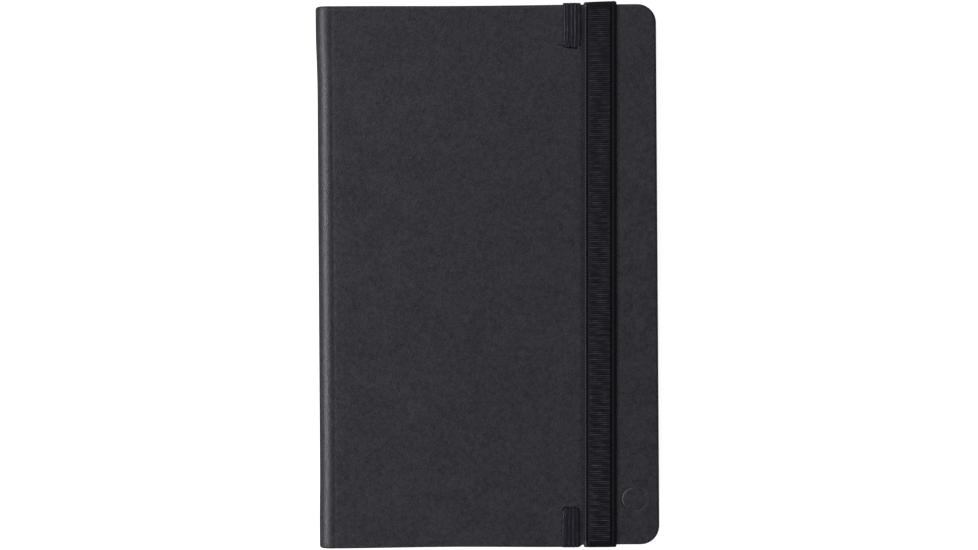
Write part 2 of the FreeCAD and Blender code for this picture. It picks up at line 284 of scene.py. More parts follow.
class Look:
    """A Principled material with helpers for its nodes. Texture scales are per millimetre."""

    def __init__(self, name, **values):
        self.material = bpy.data.materials.new(name)
        self.material.use_nodes = True
        self.tree = self.material.node_tree
        self.shader = self.tree.nodes["Principled BSDF"]
        for socket, value in values.items():
            self.shader.inputs[socket.replace("_", " ")].default_value = value
        place = self.tree.nodes.new("ShaderNodeTexCoord")
        scale = self.tree.nodes.new("ShaderNodeMapping")
        scale.inputs["Scale"].default_value = (1 / MM,) * 3
        self.link(place.outputs["Object"], scale.inputs["Vector"])
        self.place = scale.outputs["Vector"]

    def link(self, output, socket):
        self.tree.links.new(output, socket)
        return output

    def add(self, kind, output=0, sockets=None, **settings):
        """A node of that kind. sockets gives values or outputs to link, by socket name or number."""
        node = self.tree.nodes.new("ShaderNode" + kind)
        for key, value in settings.items():
            setattr(node, key, value)
        for key, value in (sockets or {}).items():
            if isinstance(value, bpy.types.NodeSocket):
                self.link(value, node.inputs[key])
            else:
                node.inputs[key].default_value = value
        return node.outputs[output]

    def stretched(self, scale):
        return self.add("Mapping", sockets={"Vector": self.place, "Scale": scale})

    def noise(self, scale, detail=3.0, rough=0.55, place=None):
        sockets = {"Vector": place or self.place, "Scale": scale, "Detail": detail, "Roughness": rough}
        return self.add("TexNoise", "Fac", sockets)

    def pebbles(self, scale):
        return self.add("TexVoronoi", "Distance", {"Vector": self.place, "Scale": scale, "Randomness": 1.0})

    def stripes(self, scale, distortion, way):
        sockets = {"Vector": self.place, "Scale": scale, "Distortion": distortion}
        return self.add("TexWave", "Fac", sockets, bands_direction=way)

    def math(self, operation, a, b=0.0):
        return self.add("Math", operation=operation, sockets={0: a, 1: b})

    def mixed(self, *parts):
        """The sum of (output, weight) parts."""
        total = None
        for output, weight in parts:
            share = self.math("MULTIPLY", output, weight)
            total = share if total is None else self.math("ADD", total, share)
        return total

    def between(self, value, low, high):
        """value from 0 to 1 turned into low to high."""
        return self.add("MapRange", sockets={"Value": value, "To Min": low, "To Max": high})

    def ramp(self, value, stops):
        node = self.tree.nodes.new("ShaderNodeValToRGB")
        ramp = node.color_ramp
        while len(ramp.elements) < len(stops):
            ramp.elements.new(0.5)
        for element, (place, colour) in zip(ramp.elements, stops):
            element.position = place
            element.color = (*colour, 1)
        self.link(value, node.inputs["Fac"])
        return node.outputs["Color"]

    def finish(self, tone, stops, roughness, *heights):
        """The material, coloured by the tone's place among the stops, with its roughness as (output, low,
        high) and with bumps laid over each other as (height output, strength, depth in millimetres)."""
        self.link(self.ramp(tone, stops), self.shader.inputs["Base Color"])
        self.link(self.between(*roughness), self.shader.inputs["Roughness"])
        normal = None
        for height, strength, depth in heights:
            sockets = {"Height": height, "Strength": strength, "Distance": depth * MM}
            if normal is not None:
                sockets["Normal"] = normal
            normal = self.add("Bump", "Normal", sockets)
        self.link(normal, self.shader.inputs["Normal"])
        return self.material


def leatherette_look():
    """Matt black leatherette: fine pressed pebble grain, faint mottling and slightly rubbed high spots."""
    look = Look("black_leatherette", IOR=1.45, Specular_IOR_Level=0.42)
    cells = look.pebbles(2.1)
    fine = look.pebbles(4.0)
    grain = look.noise(2.3, 4.0, 0.65)
    speckle = look.noise(0.85, 3.0, 0.5)
    mottle = look.noise(0.16)
    tone = look.mixed((grain, 0.48), (speckle, 0.34), (mottle, 0.14))
    stops = [(0.31, (0.0080, 0.0075, 0.0102)), (0.63, (0.0302, 0.0286, 0.0360))]
    return look.finish(tone, stops, (grain, 0.28, 0.50),
                       (mottle, 0.25, 0.25), (cells, 0.45, 0.09), (fine, 0.35, 0.05), (grain, 0.5, 0.08))


def elastic_look(name, along, across, middle, light):
    """Black textured elastic yarn, with painted highlights on its crests and painted shade in its grooves.
    along and across stretch the fibre pattern on Y and X. middle and light are how bright its body
    and its painted crest highlights are."""
    look = Look(name, Sheen_Weight=0.05, Sheen_Roughness=0.5, Specular_IOR_Level=0.16)
    look.shader.inputs["Sheen Tint"].default_value = (0.8, 0.8, 0.9, 1)
    fibre = look.noise(3.0, 4.0, 0.7, look.stretched((across, along, 1.0)))
    # The point attribute brings painted highlights on crests and painted shade in grooves into the colour
    painted_shading = look.add("Attribute", "Fac", attribute_name="painted_shading")
    yarn = look.mixed((fibre, 0.6), (look.noise(0.7, 2.0), 0.4))
    tone = look.mixed((yarn, 0.35), (painted_shading, 0.75))
    stops = [(0.15, (0.0016, 0.0014, 0.0030)), (0.55, (middle, middle * 0.87, middle * 1.45)),
             (0.95, (light, light * 0.95, light * 1.2))]
    return look.finish(tone, stops, (fibre, 0.5, 0.8), (fibre, 0.55, 0.05), (look.noise(9.0), 0.3, 0.02))


def paper_look(name, low, high):
    """Uncoated paper: fibres, a little mottling and a soft surface."""
    look = Look(name, Specular_IOR_Level=0.2)
    fibre = look.noise(2.2, 5.0, 0.7)
    cloud = look.noise(0.12, 2.0)
    return look.finish(look.mixed((fibre, 0.8), (cloud, 0.2)), [(0.25, low), (0.75, high)],
                       (fibre, 0.72, 0.95), (fibre, 0.25, 0.03), (cloud, 0.1, 0.06))


def board_look():
    """Grey-brown binder's board: pressed pulp with darker flecks."""
    look = Look("binders_board", Specular_IOR_Level=0.15)
    flecks = look.noise(1.4, 6.0, 0.75)
    stops = [(0.3, (0.20, 0.175, 0.145)), (0.5, (0.30, 0.27, 0.235)), (0.7, (0.38, 0.35, 0.31))]
    return look.finish(flecks, stops, (flecks, 0.8, 0.98), (flecks, 0.5, 0.08))


def woven_look(name, dark, light, scale):
    """A plain weave seen as crossed threads, for gauze and pocket cloth."""
    look = Look(name, Sheen_Weight=0.1, Specular_IOR_Level=0.2)
    weave = look.math("MULTIPLY", look.stripes(scale, 0.6, "X"), look.stripes(scale, 0.6, "Y"))
    fuzz = look.noise(3.0)
    return look.finish(look.mixed((weave, 0.6), (fuzz, 0.4)), [(0.2, dark), (0.8, light)],
                       (fuzz, 0.7, 0.95), (weave, 0.6, 0.06), (fuzz, 0.3, 0.03))


def kraft_look():
    """Brown kraft paper with long fibres."""
    look = Look("kraft_lining", Specular_IOR_Level=0.2)
    fibre = look.noise(1.8, 5.0, 0.7, look.stretched((1.0, 0.3, 1.0)))
    stops = [(0.3, (0.28, 0.19, 0.105)), (0.7, (0.42, 0.31, 0.19))]
    return look.finish(fibre, stops, (fibre, 0.7, 0.9), (fibre, 0.3, 0.04))


def thread_look(name, dark, light):
    """Twisted thread, with its ply showing as slanted stripes."""
    look = Look(name, Sheen_Weight=0.2, Specular_IOR_Level=0.3)
    ply = look.stripes(1.4, 0.4, "DIAGONAL")
    fuzz = look.noise(5.0)
    return look.finish(look.mixed((ply, 0.6), (fuzz, 0.4)), [(0.2, dark), (0.8, light)],
                       (fuzz, 0.5, 0.8), (ply, 0.6, 0.06), (fuzz, 0.3, 0.02))


def endband_look(height, pitch):
    """Endband cotton in black and off-white stripes along its roll."""
    look = Look("striped_endband", Sheen_Weight=0.15, Specular_IOR_Level=0.25)
    split = look.add("SeparateXYZ", "Z", {"Vector": look.place})
    turns = look.math("DIVIDE", look.math("SUBTRACT", split, height), pitch * 2)
    stripe = look.math("GREATER_THAN", look.math("FRACT", turns), 0.5)
    fuzz = look.noise(5.0)
    stops = [(0.1, (0.012, 0.012, 0.015)), (0.9, (0.62, 0.58, 0.5))]
    return look.finish(look.mixed((stripe, 0.85), (fuzz, 0.15)), stops, (fuzz, 0.6, 0.9), (fuzz, 0.5, 0.04))


def floor_look():
    """A white floor, lit and glowing a little."""
    look = Look("white_sweep", Roughness=0.9, Specular_IOR_Level=0.05, Emission_Strength=0.85)
    look.shader.inputs["Emission Color"].default_value = (1, 1, 1, 1)
    look.shader.inputs["Base Color"].default_value = (0.38, 0.38, 0.38, 1)
    return look.material


LEATHERETTE = leatherette_look()
# The last number of each elastic is the colour of its painted crest highlights
BAND_ELASTIC = elastic_look("ribbed_elastic", 1.0, 0.35, 0.0052, 0.052)
STRAP_ELASTIC = elastic_look("corded_elastic", 0.25, 1.0, 0.0115, 0.16)
PAGE_PAPER = paper_look("page_paper", (0.76, 0.715, 0.60), (0.86, 0.82, 0.71))
END_PAPER = paper_look("end_paper", (0.71, 0.665, 0.54), (0.82, 0.775, 0.65))
POCKET_CARD = paper_look("pocket_card", (0.66, 0.615, 0.49), (0.77, 0.725, 0.60))
BOARD = board_look()
GAUZE = woven_look("cotton_gauze", (0.48, 0.44, 0.36), (0.78, 0.74, 0.65), 0.9)
POCKET_CLOTH = woven_look("pocket_cloth", (0.008, 0.008, 0.010), (0.028, 0.028, 0.032), 1.3)
KRAFT = kraft_look()
SEWING = thread_look("sewing_thread_white", (0.55, 0.53, 0.48), (0.82, 0.8, 0.75))
BLACK_THREAD = thread_look("black_thread", (0.008, 0.008, 0.01), (0.03, 0.03, 0.034))
ENDBAND_PITCH = 0.62
ENDBAND = endband_look(box_mm("headband")[0][2], ENDBAND_PITCH)


# ---- the leatherette case

def case_path(flat_x):
    """The case's outside from the spine round the shoulder, through the crease and over the flat cover
    at those x places: points (x, z), their normals, and how deep the cloth folds over at the ends."""
    tight = SPINE_EDGE_ROUND
    easy = (SHOULDER - tight * (1 - math.sin(SHOULDER_TILT))) / math.sin(SHOULDER_TILT)
    tilt = np.linspace(SHOULDER_TILT, 0, 15)
    slope = points_at(SHOULDER_X - easy * np.sin(tilt), FRONT_Z - easy * (1 - np.cos(tilt)))
    tilt = np.linspace(math.pi / 2, SHOULDER_TILT, 9)[:-1]
    centre = slope[0] + tight * np.array([math.sin(SHOULDER_TILT), -math.cos(SHOULDER_TILT)])
    corner = points_at(centre[0] - tight * np.sin(tilt), centre[1] + tight * np.cos(tilt))
    leg = points_at(SPINE_X, np.linspace(JOINT_LOW[2], corner[0][1], 5)[:-1])
    flat_x = np.concatenate([SHOULDER_X + CREASE * np.linspace(0, 1, 11)[1:], flat_x])
    path = np.concatenate([leg, corner, slope, points_at(flat_x, FRONT_Z)])
    path[:, 1] -= CREASE_DEPTH * bell(path[:, 0] - CREASE_X, CREASE_WIDTH)
    share = smooth_step((path[:, 0] - SHOULDER_X) / CREASE)
    depth = 2 * CLOTH + (FRONT_Z - INNER_Z - 2 * CLOTH) * share
    return path, left_normals(path), depth


# How each slit is pulled out of line by its strap, in millimetres. Along the slit, left and right are its
# ends and half_width, bend and tilt give the curve that its line bows in, up to wing and with a dip in
# the middle. inboard is how far the line lies from the CAD slit. swells are raised spots of leatherette:
# place along, place across, size along, size across and height.
HEAD_SLIT = SimpleNamespace(side=1, y=HEAD_SLIT_Y, left=-3.6, right=1.9, half_width=2.5, bend=5, tilt=0.17,
                            wing=0.72, dip=0, inboard=0.12,
                            swells=((-2.7, 0.0, 0.7, 0.3, 0.10), (1.8, -0.4, 0.35, 0.32, 0.16)))
TAIL_SLIT = SimpleNamespace(side=-1, y=TAIL_SLIT_Y, left=-2.9, right=2.6, half_width=2.2, bend=7, tilt=0,
                            wing=1.3, dip=0.18, inboard=0.55,
                            swells=((-2.65, 0.1, 0.3, 0.35, 0.08), (2.6, 0.6, 0.3, 0.6, 0.10)))


def slit_relief(slit, x, y):
    """Height round one slit: its cut line, the lip beside it, the swells and the hollow under the strap."""
    aside = x - SLIT_X - STRAP_SHIFT - STRAP_LEAN * y
    reach = (y - slit.y) * slit.side
    bow = 0.75 * (np.abs(aside) / slit.half_width) ** slit.bend - slit.tilt * aside
    bow = np.minimum(bow, slit.wing) + slit.dip * bell(aside, 0.9)
    off_line = reach + slit.inboard - bow
    within = smooth_step((aside - slit.left) / 0.8) * smooth_step((slit.right - aside) / 0.4)
    cut = smooth_step((0.36 - np.abs(off_line)) / 0.28) * within
    opening = smooth_step((2.5 - np.abs(x - SLIT_X)) / 0.2) * smooth_step((0.4 - np.abs(reach)) / 0.15)
    height = SLIT_LIP * bell(off_line + 0.63, 0.3) * within - cut * (SLIT_DEPTH + opening)
    for place_x, place_y, size_x, size_y, swell in slit.swells:
        height = height + swell * bell(aside - place_x, size_x) * bell(reach - place_y, size_y)
    under = smooth_step((2.6 - np.abs(aside)) / 0.5) * smooth_step((reach + 0.1) / 0.5)
    return height - STRAP_HOLLOW * under


def cover_relief(x, y):
    """Height of the front cover's leatherette above its plane: a slight wave, the slits, the dent along
    the closure and the ring."""
    height = WAVE * wave_noise(x, y, SEED, 26.0) + slit_relief(HEAD_SLIT, x, y) + slit_relief(TAIL_SLIT, x, y)
    height = height - CLOSURE_DENT * bell(x - LEAN * y - BAND_LOW[0] - 0.1, 0.65)
    from_ring = np.abs(np.hypot(x - RING_CENTRE[0], y - RING_CENTRE[1]) - RING_RADIUS)
    return height - RING_DEPTH * smooth_step((RING_LINE - from_ring) / (RING_LINE * 0.75))


def back_relief(x, y):
    """The back cover's slight wave, and the shallow track under the closure."""
    centre = (BAND_LOW[0] + BAND_HIGH[0]) / 2
    half = (BAND_HIGH[0] - BAND_LOW[0]) / 2
    track = smooth_step((half + 0.5 - np.abs(x - centre)) / 0.5)
    return WAVE * wave_noise(x, y, SEED + 1, 26.0) - CLOSURE_TRACK * track


def cover_lines(fine_x=(), fine_y=()):
    """X and Y places over a flat cover, close together next to the closure and in the fine stretches."""
    end = FORE_X - EDGE_ROUND
    radius = CORNER - EDGE_ROUND
    beside_band = (BAND_LOW[0] - 1.8, BAND_LOW[0] + 0.8, 0.3)
    xs = lines(SHOULDER_X + CREASE, end - radius, 1.6, [beside_band, *fine_x])[1:]
    xs = np.concatenate([xs, corner_places(end, radius, 12)[1:]])
    half = HEAD_Y - EDGE_ROUND
    return xs, lines(-half, half, 1.7, fine_y)


def front_cover_lines():
    """The front cover's places, close together at the slits, the ring, the head and the tail."""
    reach = RING_RADIUS + RING_LINE + 0.2
    fine_x = [
        (SLIT_X - 3.4, SLIT_X + 3.4, 0.17),
        (RING_CENTRE[0] - reach, RING_CENTRE[0] + reach, 0.13),
    ]
    fine_y = [
        (HEAD_SLIT_Y - 1.6, HEAD_SLIT_Y + 1.2, 0.11),
        (TAIL_SLIT_Y - 1.2, TAIL_SLIT_Y + 1.6, 0.11),
        (RING_CENTRE[1] - reach, RING_CENTRE[1] + reach, 0.13),
        (-HEAD_Y, -HEAD_Y + 1.5, 0.12),
        (HEAD_Y - 1.5, HEAD_Y, 0.12),
    ]
    return cover_lines(fine_x, fine_y)


def edge_profile(wall=(0.5, (EDGE_ROUND - FOLD_ROUND) / 2)):
    """The cover's edge from its flat face round and under: (outward, share of depth, extra depth).
    wall is the share and extra depth of the point between its two roundings."""
    steps = [(EDGE_ROUND * math.sin(a), 0.0, EDGE_ROUND * (1 - math.cos(a)))
             for a in np.linspace(0, math.pi / 2, 7)[1:]]
    steps.append((EDGE_ROUND, *wall))
    for a in np.linspace(0, math.pi / 2, 5):
        steps.append((EDGE_ROUND - FOLD_ROUND * (1 - math.cos(a)), 1.0, -FOLD_ROUND * (1 - math.sin(a))))
    steps.append((-0.9, 1.0, 0.0))
    steps.append((EDGE_ROUND - TURN_IN_SHOWN, 1.0, 0.0))
    steps.append((EDGE_ROUND - TURN_IN_SHOWN - 0.05, 1.0, -0.12))
    return steps


def settled(points):
    """The case's points, moved a little as a bound case is never quite square: its tail edge bows out
    between the spine and the closure, its head edge dips, and the spine flares at both ends."""
    x, y = points[:, 0].copy(), points[:, 1].copy()
    bow = TAIL_BOW + TAIL_BOW_WAVE * np.cos(2 * math.pi * (x - SPINE_X - 3) / 61)
    points[:, 1] -= bow * smooth_step((-y - 45) / 25) * smooth_step((BAND_LOW[0] - 0.7 - x) / 0.9)
    points[:, 1] -= HEAD_DIP * bell(x + 5, 22) * smooth_step((y - 45) / 25)
    flare = HEAD_FLARE * smooth_step((y - 48) / 18) + TAIL_FLARE * smooth_step((-y - 50) / 15)
    points[:, 0] -= flare * smooth_step((SPINE_X + 6 - x) / 5)
    points[:, 0] += FORE_EDGE_SHIFT * smooth_step((x - FORE_X + 9) / 6)
    return points


def case_skin(name, flat_x, ys, relief, to_back):
    """One cover's leatherette with its shoulder, wrapped over the head, tail and fore-edges."""
    path, normal, depth = case_path(flat_x)
    end = FORE_X - EDGE_ROUND
    radius = CORNER - EDGE_ROUND
    full = HEAD_Y - EDGE_ROUND
    straight = full - radius
    halves = corner_reach(path[:, 0], end, full, radius)
    rows, columns = len(path), len(ys)
    excess = np.maximum(np.abs(ys) - straight, 0)[None, :]
    scale = ((halves - straight) / (full - straight))[:, None]
    grid_y = np.sign(ys)[None, :] * (np.minimum(np.abs(ys), straight)[None, :] + excess * scale)
    grid_x = np.repeat(path[:, :1], columns, 1)
    top = points_at(grid_x, grid_y, path[:, 1:])
    groove = bell(full - np.abs(grid_y) - 0.12, 0.16) * smooth_step((-27 - grid_x) / 9)
    top[..., 2] -= 0.07 * groove
    fade = smooth_step((grid_x - SHOULDER_X - CREASE) / 2) * smooth_step((full - np.abs(grid_y)) / 1.5)
    fade = fade * smooth_step((end - grid_x) / 1.5)
    top[..., 2] += relief(grid_x, grid_y) * fade

    rim = [(i, 0) for i in range(rows)]
    rim += [(rows - 1, j) for j in range(1, columns)]
    rim += [(i, columns - 1) for i in range(rows - 2, -1, -1)]
    rim_i = np.array([i for i, _ in rim])
    rim_j = np.array([j for _, j in rim])
    base = top[rim_i, rim_j]
    turn = np.clip((path[rim_i, 0] - (end - radius)) / radius, 0, 1)
    side = np.where(rim_j == 0, -1.0, 1.0)
    between = (rim_j > 0) & (rim_j < columns - 1)
    turn = np.where(between, 1.0, turn)
    outward = points_at(turn, side * np.sqrt(np.maximum(1 - turn ** 2, 0)), 0.0)
    inward = -points_at(normal[rim_i, 0], 0.0, normal[rim_i, 1])
    points = [top.reshape(-1, 3)]
    for out, share, extra in edge_profile():
        deep = np.maximum(share * depth[rim_i] + extra, 0)
        points.append(base + outward * out + inward * deep[:, None])
    points = settled(np.concatenate(points))
    faces = grid_faces(rows, columns)
    count = rows * columns
    loop = [i * columns + j for i, j in rim]
    steps = len(edge_profile())
    for step in range(steps):
        inner = loop if step == 0 else [count + (step - 1) * len(rim) + k for k in range(len(rim))]
        outer = [count + step * len(rim) + k for k in range(len(rim))]
        for k in range(len(rim) - 1):
            faces.append((inner[k + 1], inner[k], outer[k], outer[k + 1]))
    if to_back:
        points[:, 2] = 2 * MIDDLE_Z - points[:, 2]
        faces = [f[::-1] for f in faces]
    return make_piece(name, points, faces, LEATHERETTE, closed=False)


def spine_skin():
    """The flat of the spine, folded over the card at head and tail."""
    low, high = box_mm("spine_leatherette")
    depth = high[0] - low[0]
    zs = np.linspace(low[2], high[2], 9)
    ys = lines(-HEAD_Y + EDGE_ROUND, HEAD_Y - EDGE_ROUND, 3.0)
    profile = [(0.0, y) for y in ys]
    cap = []
    for out, share, extra in edge_profile(wall=(0.6, 0.0)):
        cap.append((min(max(share * depth + extra, 0), depth), HEAD_Y - EDGE_ROUND + out))
    profile = [(d, -y) for d, y in reversed(cap)] + profile + cap
    points = settled(np.array([(low[0] + d, y, z) for z in zs for d, y in profile]))
    return make_piece("spine_skin", points, grid_faces(len(zs), len(profile)), LEATHERETTE, closed=False)


def mirrored(point):
    """A point in metres moved from the front cover to the same place on the back cover."""
    return (point[0], point[1], 2 * MIDDLE_Z * MM - point[2])


# The fold in a joint starts at the top of the spine and ends where the board begins.
JOINT_START = np.array([-43.45, 0, JOINT_LOW[2]]) * MM
JOINT_START = tuple(JOINT_START)


def make_case():
    front = case_skin("front_cover_skin", *front_cover_lines(), cover_relief, False)
    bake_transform(front)
    stand_in(front, "leatherette", "front_leatherette", "front_joint")
    back = case_skin("back_cover_skin", *cover_lines(), back_relief, True)
    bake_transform(back)
    stand_in(back, "leatherette", "back_leatherette", "back_joint")
    ride(spine_skin(), "text_block", "leatherette", "spine_leatherette")


# ---- the elastics

def unit(v):
    return v / np.linalg.norm(v)


def rounded_path(corners, radii, closed=False):
    """Points along straight runs joined by arcs at the corners."""
    corners = [np.array(c, float) for c in corners]
    count = len(corners)
    path = []
    for k, (corner, radius) in enumerate(zip(corners, radii)):
        if not closed and k in (0, count - 1):
            path.append(corner)
            continue
        before = unit(corners[k - 1] - corner)
        after = unit(corners[(k + 1) % count] - corner)
        half_turn = math.acos(np.clip(before @ after, -1, 1)) / 2
        middle = corner + unit(before + after) * radius / math.sin(half_turn)
        first = unit(corner + before * radius / math.tan(half_turn) - middle)
        last = unit(corner + after * radius / math.tan(half_turn) - middle)
        path += [middle + radius * unit(first * (1 - t) + last * t) for t in np.linspace(0, 1, 13)]
    return np.array(path)


def even_path(path, step, closed=False):
    """The path with its points about step apart: points, outward normals and distances along it."""
    if closed:
        path = np.concatenate([path, path[:1]])
    runs = distances(path)
    count = max(2, round(runs[-1] / step))
    along = np.linspace(0, runs[-1], count + 1)
    if closed:
        along = along[:-1]
    points = np.stack([np.interp(along, runs, path[:, k]) for k in range(path.shape[1])], 1)
    if closed:
        normal = -left_normals(np.concatenate([points[-1:], points, points[:1]]))[1:-1]
    else:
        normal = -left_normals(points)
    return points, normal, along


def strip_mesh(points, normal, outer_x, outer, inner_x, inner, closed):
    """A strip that follows a path of (y, z) points. outer and inner are its heights above the path."""
    def surface(xs, heights):
        yz = points[:, None, :] + normal[:, None, :] * heights[:, :, None]
        return np.concatenate([xs[:, :, None], yz], 2)
    ring = np.concatenate([surface(outer_x, outer), surface(inner_x, inner)[:, ::-1]], 1)
    rows, columns = ring.shape[:2]
    faces = grid_faces(rows, columns, wrap_rows=closed, wrap_columns=True)
    if not closed:
        faces.append(list(range(columns)))
        faces.append([(rows - 1) * columns + k for k in range(columns)][::-1])
    return ring.reshape(-1, 3), faces


def drift(along, seed, size):
    """How an elastic wanders along its length, with swings about size apart."""
    return wave_noise(along, along * 0, SEED + seed, size)[:, None]


# ---- the closure

# Places across the closure, from its left edge. The elastic spreads a little past its CAD solid.
BAND_WIDTH = BAND_HIGH[0] - BAND_LOW[0] + 0.12
RIB_PITCH = 0.53
BEAD = 0.48
GROOVE = 0.99
RIBS_START = 1.40
RIBS_END = 6.88
BODY_HEIGHT = 0.60
RIB_HEIGHT = 0.15
POINTS_PER_RIB = 5
SEAM = 7.22
ROLL = 7.66

# The loop that the closure is wound on stands this far off the cover, and turns its corners at this radius
BAND_GAP = 0.05
BAND_TURN = 0.6


def closure_outer(across, along, path, normal):
    """Height of the closure's outside above the loop it is wound on, and the painted light and shade at each
    place.
    """
    at_head = path[:, :1] > 0
    rib_number = np.floor(along / RIB_PITCH)
    rib_wave = np.abs(np.sin(math.pi * along / RIB_PITCH)) ** 0.7
    strength = 0.76 + 0.24 * wave_noise(across, rib_number * 1.7, SEED + 3, 4.0)
    ribbed = smooth_step((across - RIBS_START + 0.1) / 0.2) * smooth_step((RIBS_END + 0.1 - across) / 0.2)
    fold = smooth_step((np.abs(path[:, :1]) - HEAD_Y + 1.3) / 0.6)
    ribs = RIB_HEIGHT * rib_wave * strength * ribbed * (1 - 0.8 * fold)
    bead_bumps = 0.03 * np.sin(2 * math.pi * along / (RIB_PITCH * 1.5))
    roll_bumps = np.maximum(wave_noise(along * 1.1, rib_number * 0, SEED + 4, 1.6), 0)
    low_side = smooth_step((across - RIBS_END - 0.1) / 0.3)
    height = BODY_HEIGHT - 0.02 * ribbed + ribs - 0.16 * low_side
    height = height - 0.24 * bell(across - GROOVE, 0.15) - 0.20 * bell(across - SEAM, 0.17)
    height = height + (0.19 + bead_bumps) * bell(across - BEAD, 0.16)
    height = height + (0.02 + 0.07 * roll_bumps) * bell(across - ROLL, 0.28)
    under = smooth_step((MIDDLE_Z - path[:, 1:]) / 4)
    height = height * (1 - 0.16 * under)
    proud = np.where(at_head, 0.50 + 0.24 * np.clip(across / 7.0, 0, 1), BODY_HEIGHT)
    proud = proud + np.where(at_head, 0.06 * bell(across - ROLL, 0.3), 0) + 0.03 * (ribs > 0)
    side = np.abs(normal[:, :1]) ** 1.5
    height = height * (1 - side) + proud * side
    edge = np.minimum(across, BAND_WIDTH - across)
    height = height * (0.35 + 0.65 * smooth_step((edge + 0.12) / 0.4))
    join = smooth_step((0.22 - np.abs(path[:, :1])) / 0.12) * under
    # Painted highlights on the rib crests, the fold over the case's edges, the bead and the roll's bumps;
    # painted shade in the rib valleys, the groove, the seam and along the low right side.
    painted_shading = 0.27 + 1.6 * (ribs / RIB_HEIGHT - 0.5) * ribbed + 0.3 * fold * (1 - low_side) - 0.352 * low_side
    painted_shading = painted_shading + (0.70 + 8 * bead_bumps) * bell(across - BEAD, 0.15) - 0.6 * bell(across - GROOVE, 0.16)
    painted_shading = painted_shading + (0.02 + 0.2 * roll_bumps) * bell(across - ROLL, 0.28) - 0.4 * bell(across - SEAM, 0.2)
    return height * (1 - 0.55 * join), painted_shading


def on_closure(piece, slot, node):
    """The piece moves with the closure, on a mesh of its own, and stands in for that CAD node."""
    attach(piece, "closure")
    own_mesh(piece)
    stand_in(piece, slot, node)


def make_closure():
    """The ribbed elastic loop: a rolled left edge, cross ribs and a plain rolled right edge."""
    low = BACK_Z - BAND_GAP
    high = FRONT_Z + BAND_GAP
    half = HEAD_Y + BAND_GAP
    corners = [(half, high), (-half, high), (-half, low), (half, low)]
    path = rounded_path(corners, [BAND_TURN] * 4, closed=True)
    length = 2 * (2 * half + high - low) - (8 - 2 * math.pi) * BAND_TURN
    ribs = round(length / RIB_PITCH)
    points, normal, along = even_path(path, length / (ribs * POINTS_PER_RIB), closed=True)
    along = along * (ribs * RIB_PITCH / length)
    left_part = [0, 0.2, 0.34, BEAD, 0.62, 0.78, 0.9, 1.0, 1.12, 1.32, 1.44, 1.56]
    right_part = [6.84, 6.98, 7.12, 7.24, 7.4, 7.56, 7.72, 7.9, 8.15, BAND_WIDTH - 0.1, BAND_WIDTH]
    rib_part = [2.8, 4.1, 5.4, 6.7]
    middle = len(left_part) + len(rib_part) // 2
    across = np.array(left_part + rib_part + right_part)
    heights, painted_shading = closure_outer(across[None, :], along[:, None], points, normal)
    share = (across / BAND_WIDTH)[None, :]
    left_edge = BAND_LOW[0] + 0.05 + 0.04 * drift(along, 5, 9.0) * (1 - share)
    right_edge = BAND_LOW[0] + 0.05 + BAND_WIDTH + 0.04 * drift(along, 6, 7.0)
    outer_x = left_edge * (1 - share) + right_edge * share
    inner_x = outer_x[:, [0, middle, -1]]
    inner = np.full(inner_x.shape, 0.02)
    mesh, faces = strip_mesh(points, normal, outer_x, heights, inner_x, inner, True)
    painted_shading = np.concatenate([painted_shading, np.full(inner_x.shape, 0.2)], 1)
    mesh[:, 0] += LEAN * mesh[:, 1]
    band = make_piece("closure_elastic", mesh, faces, BAND_ELASTIC, painted_shading=painted_shading)
    on_closure(band, "elastic", "closure_band")


def crossways(path):
    """Two unit directions square to a 3-D path, at each of its points."""
    tangent = unit_tangents(path)
    first = np.cross(tangent, (0.31, 0.17, 0.93))
    first /= np.linalg.norm(first, axis=1)[:, None]
    return first, np.cross(tangent, first)


def tube_mesh(path, radius, sides=6):
    """A closed round tube along 3-D points. radius is a number or one for each point."""
    first, second = crossways(path)
    angle = np.linspace(0, 2 * math.pi, sides, endpoint=False)[None, :, None]
    spokes = first[:, None, :] * np.cos(angle) + second[:, None, :] * np.sin(angle)
    ring = path[:, None, :] + spokes * np.broadcast_to(radius, len(path))[:, None, None]
    faces = grid_faces(len(path), sides, wrap_columns=True)
    faces.append(list(range(sides))[::-1])
    faces.append([(len(path) - 1) * sides + k for k in range(sides)])
    return ring.reshape(-1, 3), faces


def joined(parts):
    """Several (points, faces) meshes as one."""
    points, faces, first = [], [], 0
    for part_points, part_faces in parts:
        points.append(part_points)
        faces += [[v + first for v in f] for f in part_faces]
        first += len(part_points)
    return np.concatenate(points), faces


def twisted(path, radius, twist):
    """Two plies twisted round each other along a path, twist millimetres to a turn."""
    runs = distances(path)
    first, second = crossways(path)
    plies = []
    for phase in (0, math.pi):
        turn = (2 * math.pi * runs / twist + phase)[:, None]
        offset = (first * np.cos(turn) + second * np.sin(turn)) * radius * 0.48
        plies.append(tube_mesh(path + offset, radius * 0.54))
    return joined(plies)


def make_stitching():
    """Two rows of zigzag stitches through the closure's joined ends."""
    low, high = box_mm("closure_stitching")
    stitch = 3.2
    xs = np.linspace(low[0] + 0.2, high[0] - 0.2, 11)
    rows = []
    for row in (-1, 1):
        middle = row * stitch * 0.7
        corners = [(x, middle + (1 if number % 2 else -1) * stitch / 2) for number, x in enumerate(xs)]
        flat, _, _ = even_path(rounded_path(corners, [0.1] * len(corners)), 0.12)
        lift = 0.13 + 0.05 * np.cos(2 * math.pi * (flat[:, 1] - middle) / stitch)
        rows.append(twisted(np.column_stack([flat, lift]), 0.12, 0.7))
    mesh, faces = joined(rows)
    on_closure(make_piece("closure_stitches", mesh, faces, BLACK_THREAD), "thread", "closure_stitching")


# ---- the page strap

# The strap's pleats: their places across it at the head and at the tail, and their height
PLEATS = ((0.42, 0.36, 0.13), (1.2, 0.88, 0.09), (2.32, 1.95, 0.10), (3.2, 3.05, 0.12), (4.28, 4.15, 0.10))


